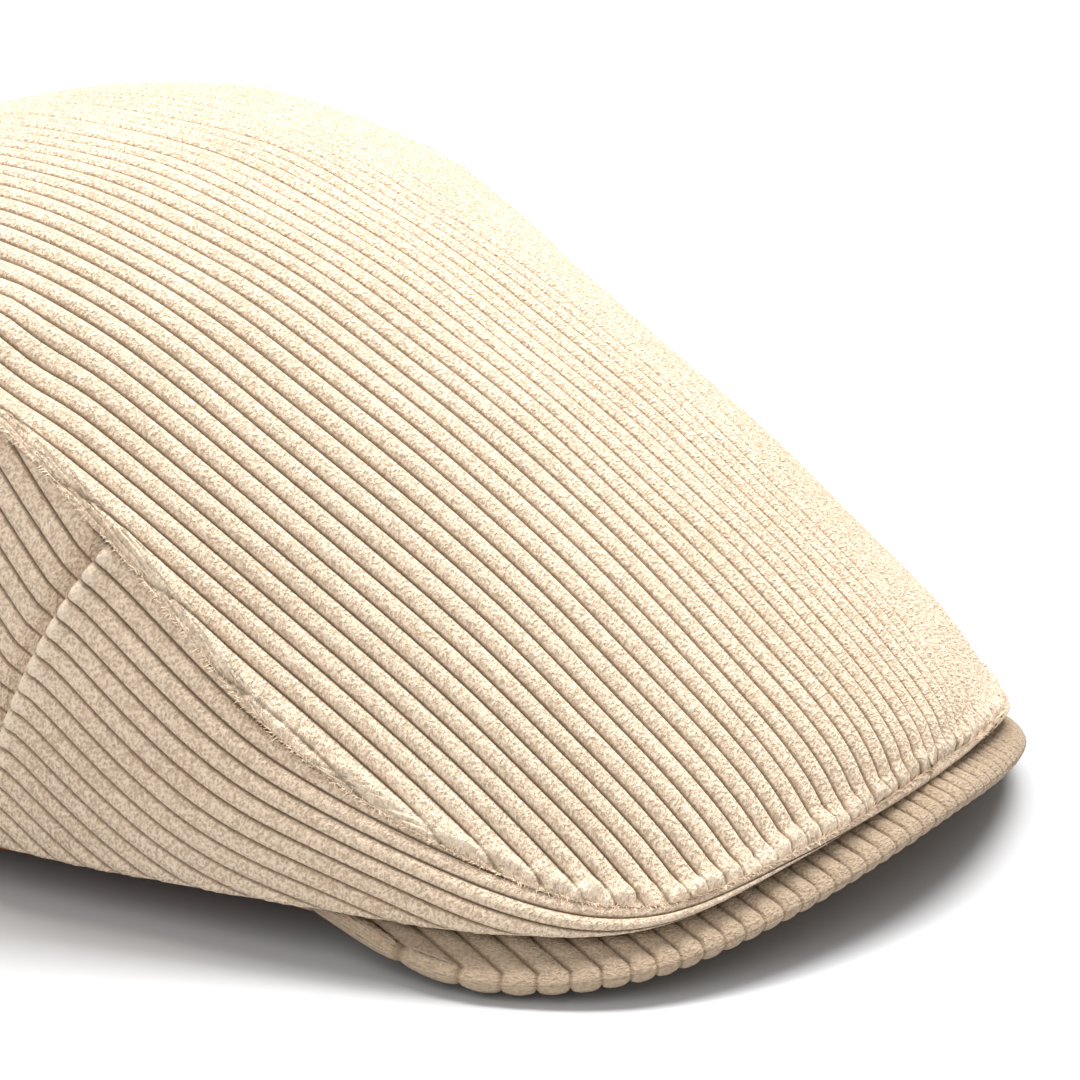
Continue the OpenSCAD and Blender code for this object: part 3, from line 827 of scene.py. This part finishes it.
def band_piece(name, node, start, end, columns, gathers, puff,
               low=0.0, high=1.0, depth=0.0, thick=0.0012, rows=30):
    a, h = np.meshgrid(np.linspace(start, end, columns), np.linspace(high, low, rows),
                       indexing="ij")
    hem = np.sin(np.pi * np.clip((h - low) / (high - low), 0, 1)) ** 0.35
    fold = gathers * np.sin(a * 46 + 0.8 * np.sin(a * 9)) * hem
    swell = puff * hem
    outer = band_point(a, h, depth + 0.1 * thick - 0.4 * swell + fold)
    inner = band_point(a, h, depth + 0.9 * thick + swell + fold)
    piece = shell(name, outer, inner, plain_uv(outer))
    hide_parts(node)
    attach(piece, "crown")
    return piece


band = band_piece("sweatband_cloth", "sweatband", -8.78, 8.78, 420, 0.00006, 0.0004,
                  low=0.02)
elastic = band_piece("elastic_cloth", "sweatband_elastic", 8.8, 11.2, 260, 0.0005, 0.0002)
label_end = 7.2 + 0.024 / 0.0296
label = band_piece("blank_label", "size_label", 7.2, label_end, 40, 0.0, 0.0,
                   0.3125, 0.6875, 0.0016, 0.0004, 14)

# %% [markdown]
# Finishes are written as sums. A small class wraps one socket of a shader, and
# adding, multiplying or comparing two wrapped sockets adds the Math node that does
# it. One method adds any other node. Nothing here looks at the camera, so every
# finish looks the same from all sides.

# %% Shader sums
class Signal:
    def __init__(self, finish, socket):
        self.finish, self.socket = finish, socket

    def maths(self, operation, *others, first=None):
        node = self.finish.tree.nodes.new("ShaderNodeMath")
        node.operation = operation
        values = (self,) + others if first is None else (first, self) + others
        for i, value in enumerate(values):
            if isinstance(value, Signal):
                self.finish.tree.links.new(value.socket, node.inputs[i])
            else:
                node.inputs[i].default_value = value
        return Signal(self.finish, node.outputs[0])

    def __add__(self, other):
        return self.maths("ADD", other)

    def __sub__(self, other):
        return self.maths("SUBTRACT", other)

    def __rsub__(self, other):
        return self.maths("SUBTRACT", first=other)

    def __mul__(self, other):
        return self.maths("MULTIPLY", other)

    def __truediv__(self, other):
        return self.maths("DIVIDE", other)

    def __pow__(self, other):
        return self.maths("POWER", other)

    __radd__, __rmul__ = __add__, __mul__

    def clipped(self):
        return self.maths("MAXIMUM", 0.0).maths("MINIMUM", 1.0)

    def to_groove(self):
        """Distance to the nearest whole number, from 0 to a half."""
        return ((self + 0.5).maths("FRACT") - 0.5).maths("ABSOLUTE")


class Finish:
    def __init__(self, name, **constants):
        self.material = bpy.data.materials.new(name)
        self.material.use_nodes = True
        self.tree = self.material.node_tree
        self.shader = self.tree.nodes["Principled BSDF"]
        for key, value in constants.items():
            self.shader.inputs[key.replace("_", " ")].default_value = value

    def node(self, kind, settings=None, output=0, **sockets):
        node = self.tree.nodes.new(kind)
        for key, value in (settings or {}).items():
            setattr(node, key, value)
        for key, value in sockets.items():
            socket = node.inputs[int(key[1:]) if key[1:].isdigit() else key.replace("_", " ")]
            if isinstance(value, Signal):
                self.tree.links.new(value.socket, socket)
            else:
                socket.default_value = value
        return Signal(self, node.outputs[output])

    def mix(self, factor, a, b):
        return self.node("ShaderNodeMix", {"data_type": "RGBA"}, 2, i0=factor, i6=a, i7=b)

    def noise(self, vector, scale, detail=1.0, roughness=0.5):
        return self.node("ShaderNodeTexNoise", None, 0, Vector=vector, Scale=scale,
                         Detail=detail, Roughness=roughness)

    def drive(self, **inputs):
        for key, value in inputs.items():
            self.tree.links.new(value.socket, self.shader.inputs[key.replace("_", " ")])
        return self.material

    def bump(self, height, distance, strength=1.0):
        return self.node("ShaderNodeBump", None, 0, Strength=strength, Distance=distance,
                         Height=height)


def colour(r, g, b):
    return (r, g, b, 1.0)


# %% [markdown]
# Corduroy pile is cut cotton. It scatters light like velvet, so it has a soft
# sheen and no shine. The grooves are painted dark, as painted shade between the
# ribs. Seen close, the pile leans in small crosswise tufts, which the noise
# stretched across each rib imitates, and folds and rubbed edges are paler. The
# visor's pile is painted darker, as painted shade for the shade under the crown.

# %% Corduroy finish
PILE = colour(0.81, 0.655, 0.50)
PILE_DARK = colour(0.53, 0.40, 0.28)
PILE_PALE = colour(0.88, 0.75, 0.59)
# The groove colour is painted shade: the dark that falls between the ribs. The visor's painted shade
# mixes towards it too.
GROOVE_SHADE = colour(0.26, 0.18, 0.11)


def corduroy_finish(name, shade):
    """shade is 1 for the cloth's own colour and less where painted shade darkens it."""
    f = Finish(name, Roughness=0.95, Sheen_Weight=0.18, Sheen_Roughness=0.4,
               Sheen_Tint=colour(1.0, 0.93, 0.82), Specular_IOR_Level=0.12)
    cloth = f.node("ShaderNodeUVMap", {"uv_map": "cloth"})
    parts = f.tree.nodes.new("ShaderNodeSeparateXYZ")
    f.tree.links.new(cloth.socket, parts.inputs[0])
    across, along_rib = Signal(f, parts.outputs[0]), Signal(f, parts.outputs[1])
    place = f.node("ShaderNodeTexCoord", None, 3)
    worn = f.node("ShaderNodeAttribute", {"attribute_name": "worn"}, 2)
    tuft_place = f.node("ShaderNodeCombineXYZ", None, 0, X=across * 6.0,
                        Y=along_rib * 10.0, Z=0.3)
    tufts = f.noise(tuft_place, 1.0, 2.0, 0.6)
    grain = f.noise(place, 1500.0, 1.0)
    patches = f.noise(place, 45.0, 2.0)
    groove = (1.0 - (across.to_groove() - 0.02) / 0.09).clipped() * (1.0 - worn * 0.75)
    tone = ((tufts - 0.5) * 3.2 + (grain - 0.5) * 3.2 + (patches - 0.5) * 0.7 + 0.58).clipped()
    pile = f.mix(tone, PILE_DARK, PILE)
    pile = f.mix(worn.clipped() * 0.55, pile, PILE_PALE)
    # Painted shade: where shade is below 1 the pile is mixed towards the dark groove colour.
    pile = f.mix(shade, GROOVE_SHADE, pile)
    # Painted shade in the grooves, lighter where the pile is worn flat.
    base = f.mix(groove, pile, GROOVE_SHADE)
    height = tufts * 0.55 + grain * 0.45
    return f.drive(Base_Color=base, Normal=f.bump(height, 0.0012, 1.0))


corduroy = corduroy_finish("corduroy_pile", 1.0)
# The visor's finish carries painted shade: its pile is darkened to stand in for the shade it lies in
# under the crown's front.
corduroy_painted_shade = corduroy_finish("corduroy_pile_painted_shade", 0.38)
for piece in corduroy_pieces:
    piece.data.materials.append(corduroy_painted_shade if "visor" in piece.name else corduroy)

# %% [markdown]
# The lining and the band are satin: long smooth threads on the face, so light
# runs along them in soft streaks, set in the roughness and painted into the
# colour as painted sheen. A fine diagonal ridge shows close up. The elastic uses
# the same satin. The label is a plain white woven tape.

# %% Satin and label finishes
def satin_finish(name, deep, bright):
    f = Finish(name, Roughness=0.36, Sheen_Weight=0.3, Sheen_Roughness=0.3,
               Sheen_Tint=bright, Specular_IOR_Level=0.5)
    cloth = f.node("ShaderNodeUVMap", {"uv_map": "cloth"})
    place = f.node("ShaderNodeTexCoord", None, 3)
    stretch = f.node("ShaderNodeMapping", None, 0, Vector=cloth, Scale=(0.5, 14.0, 1.0))
    streaks = f.noise(stretch, 2.0, 2.0)
    patches = f.noise(place, 60.0, 1.0)
    twill = f.node("ShaderNodeTexWave", {"bands_direction": "DIAGONAL"}, 1,
                   Vector=cloth, Scale=4.5)
    # Painted sheen: the colour is lighter along the streaks, which also change the roughness.
    tone = ((streaks - 0.5) * 1.4 + (patches - 0.5) * 0.8 + 0.5).clipped()
    gloss = 0.30 + streaks * 0.16
    return f.drive(Base_Color=f.mix(tone, deep, bright), Roughness=gloss,
                   Normal=f.bump(twill * 0.4 + streaks * 0.6, 0.00006, 0.7))


satin = satin_finish("satin_lining", colour(0.50, 0.13, 0.022), colour(0.72, 0.24, 0.05))
band_satin = satin_finish("satin_band", colour(0.47, 0.12, 0.02), colour(0.70, 0.23, 0.045))


def label_finish():
    f = Finish("woven_label", Roughness=0.8, Specular_IOR_Level=0.2)
    cloth = f.node("ShaderNodeUVMap", {"uv_map": "cloth"})
    threads = f.node("ShaderNodeTexWave", None, 1, Vector=cloth, Scale=4.0)
    picks = f.node("ShaderNodeTexWave", {"bands_direction": "Y"}, 1, Vector=cloth, Scale=4.0)
    weave = threads * picks
    return f.drive(Base_Color=f.mix(weave, colour(0.70, 0.69, 0.66), colour(0.88, 0.87, 0.84)),
                   Normal=f.bump(weave, 0.00008, 0.8))


woven = label_finish()
for piece in satin_pieces:
    piece.data.materials.append(satin)
for piece in (band, elastic):
    piece.data.materials.append(band_satin)
label.data.materials.append(woven)


# %% [markdown]
# The interlining, the visor's board and the snap keep the frame's own shapes.
# The interlining is a stiff white canvas, the board a moulded plastic sheet with
# a fine leathery grain, and the snap is pressed brass plated with nickel, a
# little brighter where it rubs.

# %% Finishes of the kept pieces
def kept_finish(name, low, high, scale, rough, metal, depth):
    f = Finish(name, Metallic=metal, Specular_IOR_Level=0.5)
    place = f.node("ShaderNodeTexCoord", None, 3)
    grain = f.noise(place, scale, 3.0, 0.6)
    wear = f.noise(place, scale * 0.12, 2.0)
    tone = ((grain - 0.5) * 1.2 + (wear - 0.5) * 1.5 + 0.5).clipped()
    return f.drive(Base_Color=f.mix(tone, low, high), Roughness=rough + (wear - 0.5) * 0.25,
                   Normal=f.bump(grain, depth, 0.6))


kept = {"canvas": kept_finish("canvas_interlining", colour(0.66, 0.63, 0.57),
                              colour(0.82, 0.80, 0.75), 1600.0, 0.85, 0.0, 0.0001),
        "board": kept_finish("visor_board_plastic", colour(0.022, 0.022, 0.024),
                             colour(0.05, 0.05, 0.052), 900.0, 0.5, 0.0, 0.00004),
        "metal": kept_finish("snap_nickel", colour(0.52, 0.50, 0.46),
                             colour(0.72, 0.70, 0.66), 500.0, 0.3, 1.0, 0.00001)}
for node, finish in (("crown_interlining", "canvas"), ("visor_board", "board"),
                     ("snap_socket", "metal"), ("snap_socket_backing", "metal"),
                     ("snap_stud", "metal")):
    piece = bpy.data.objects[node]
    for place in range(len(piece.material_slots)):
        piece.material_slots[place].material = kept[finish]
print("finishes", [m.name for m in bpy.data.materials])

# %% [markdown]
# Two things repeat hundreds of times: the loose fibres that stand out of the cut
# pile along the seams, and the stitches of the band. Geometry Nodes scatter both
# along a line of edges. The fibres point out of the cloth with a little disorder,
# and the stitches lie along their line. Sizes are named inputs of each tree.

# %% Scattering trees
def line_object(name, points, ways):
    mesh = bpy.data.meshes.new(name)
    mesh.from_pydata(points.tolist(), [(i, i + 1) for i in range(len(points) - 1)], [])
    way = mesh.attributes.new("way", "FLOAT_VECTOR", "POINT")
    way.data.foreach_set("vector", np.asarray(ways, float).reshape(-1))
    line = bpy.data.objects.new(name, mesh)
    scene.collection.objects.link(line)
    return line


def scatter_tree(name, finish, disorder, sides):
    tree = bpy.data.node_groups.new(name, "GeometryNodeTree")
    face = tree.interface
    face.new_socket("Geometry", in_out="INPUT", socket_type="NodeSocketGeometry")
    for label_text, value in (("Spacing", 0.0004), ("Length", 0.001), ("Thickness", 0.0001)):
        face.new_socket(label_text, in_out="INPUT",
                        socket_type="NodeSocketFloat").default_value = value
    face.new_socket("Geometry", in_out="OUTPUT", socket_type="NodeSocketGeometry")

    def add(kind, settings=None, **sockets):
        node = tree.nodes.new(kind)
        for key, value in (settings or {}).items():
            setattr(node, key, value)
        for key, value in sockets.items():
            socket = node.inputs[key.replace("_", " ")]
            if isinstance(value, bpy.types.NodeSocket):
                tree.links.new(value, socket)
            else:
                socket.default_value = value
        return node

    given = tree.nodes.new("NodeGroupInput").outputs
    curve = add("GeometryNodeMeshToCurve", Mesh=given["Geometry"])
    points = add("GeometryNodeCurveToPoints", {"mode": "LENGTH"}, Curve=curve.outputs[0],
                 Length=given["Spacing"])
    way = add("GeometryNodeInputNamedAttribute", {"data_type": "FLOAT_VECTOR"}, Name="way")
    spread = add("FunctionNodeRandomValue", {"data_type": "FLOAT_VECTOR"}, Seed=7,
                 Min=(-disorder,) * 3, Max=(disorder,) * 3)
    lean_way = add("ShaderNodeVectorMath")
    tree.links.new(way.outputs["Attribute"], lean_way.inputs[0])
    tree.links.new(spread.outputs[0], lean_way.inputs[1])
    turn_to = add("FunctionNodeAlignRotationToVector", {"axis": "Z"},
                  Vector=lean_way.outputs[0])
    if disorder > 0.1:
        shape = add("GeometryNodeMeshCone", None, Vertices=sides, Radius_Top=0.1,
                    Radius_Bottom=1.0, Depth=1.0)
    else:
        shape = add("GeometryNodeMeshUVSphere", None, Segments=sides, Rings=4, Radius=1.0)
    size = add("ShaderNodeCombineXYZ", X=given["Thickness"], Y=given["Thickness"],
               Z=given["Length"])
    sizes = add("FunctionNodeRandomValue", {"data_type": "FLOAT"}, Seed=3)
    floats = [s for s in sizes.inputs if s.type == "VALUE" and s.enabled]
    floats[0].default_value, floats[1].default_value = (0.5, 1.3) if disorder > 0.1 else (0.93, 1.07)
    scaled = add("ShaderNodeVectorMath", {"operation": "SCALE"})
    tree.links.new(size.outputs[0], scaled.inputs[0])
    tree.links.new([s for s in sizes.outputs if s.enabled][0], scaled.inputs["Scale"])
    placed = add("GeometryNodeInstanceOnPoints", Points=points.outputs["Points"],
                 Instance=shape.outputs["Mesh"], Rotation=turn_to.outputs[0],
                 Scale=scaled.outputs[0])
    real = add("GeometryNodeRealizeInstances", Geometry=placed.outputs[0])
    coated = add("GeometryNodeSetMaterial", Geometry=real.outputs[0], Material=finish)
    out = tree.nodes.new("NodeGroupOutput")
    tree.links.new(coated.outputs[0], out.inputs[0])
    return tree


def scattered(name, tree, line, finish, **inputs):
    """Runs the tree on a line and returns the result as a plain mesh piece."""
    modifier = line.modifiers.new("scatter", "NODES")
    modifier.node_group = tree
    sockets = {s.name: s.identifier for s in tree.interface.items_tree
               if s.item_type == "SOCKET" and s.in_out == "INPUT"}
    for key, value in inputs.items():
        modifier[sockets[key]] = value
    line.update_tag()
    graph = bpy.context.evaluated_depsgraph_get()
    mesh = bpy.data.meshes.new_from_object(line.evaluated_get(graph))
    mesh.name = name
    line.modifiers.remove(modifier)
    bpy.data.objects.remove(line)
    for k in range(len(mesh.materials)):
        mesh.materials[k] = finish
    if not mesh.materials:
        mesh.materials.append(finish)
    piece = bpy.data.objects.new(name, mesh)
    scene.collection.objects.link(piece)
    print(name, sum(len(p.vertices) - 2 for p in mesh.polygons), "triangles")
    return piece


# %% Fibres and stitches
def fibre_finish():
    f = Finish("loose_fibres", Roughness=1.0, Sheen_Weight=0.3, Specular_IOR_Level=0.1)
    place = f.node("ShaderNodeTexCoord", None, 3)
    tone = f.noise(place, 300.0, 1.0)
    return f.drive(Base_Color=f.mix(tone, PILE, PILE_PALE))


def thread_finish():
    f = Finish("stitch_thread", Roughness=0.6, Sheen_Weight=0.2, Specular_IOR_Level=0.3)
    place = f.node("ShaderNodeTexCoord", None, 3)
    tone = f.noise(place, 2500.0, 1.0)
    return f.drive(Base_Color=f.mix(tone, colour(0.55, 0.16, 0.03), colour(0.80, 0.30, 0.08)))


fibre, thread = fibre_finish(), thread_finish()
fuzz_tree = scatter_tree("fuzz", fibre, 0.75, 3)
stitch_tree = scatter_tree("stitches", thread, 0.0, 6)

line_t = np.linspace(LAST, 0, 500)
line_way = outward(seam_line, line_t)
FUZZ_OUT = 0.0009
right = seam_at(line_t, 0.0002) + FUZZ_OUT * (line_way - [0, 0, 0.4])
right_way = line_way + [0, 0, 0.35]
fuzz_points = np.vstack([right, (right * [-1, 1, 1])[::-1][1:]])
fuzz_ways = np.vstack([right_way, (right_way * [-1, 1, 1])[::-1][1:]])
fuzz = scattered("seam_fuzz", fuzz_tree, line_object("fuzz_line", fuzz_points, fuzz_ways),
                 fibre, Spacing=0.00016, Length=0.0013, Thickness=0.00011)
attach(fuzz, "crown")

STITCH_ROWS = (0.93, 0.07)
STITCH_DEPTH = 0.0013
for k, height in enumerate(STITCH_ROWS):
    a = np.linspace(-8.7, 8.7, 900)
    places = band_point(a, np.full_like(a, height), np.full_like(a, STITCH_DEPTH))
    tangent = np.gradient(places, axis=0)
    tangent /= np.linalg.norm(tangent, axis=1)[:, None]
    piece = scattered(f"band_stitches_{k}", stitch_tree,
                      line_object("stitch_line", places, tangent),
                      thread, Spacing=0.0034, Length=0.0012, Thickness=0.00022)
    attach(piece, "crown")
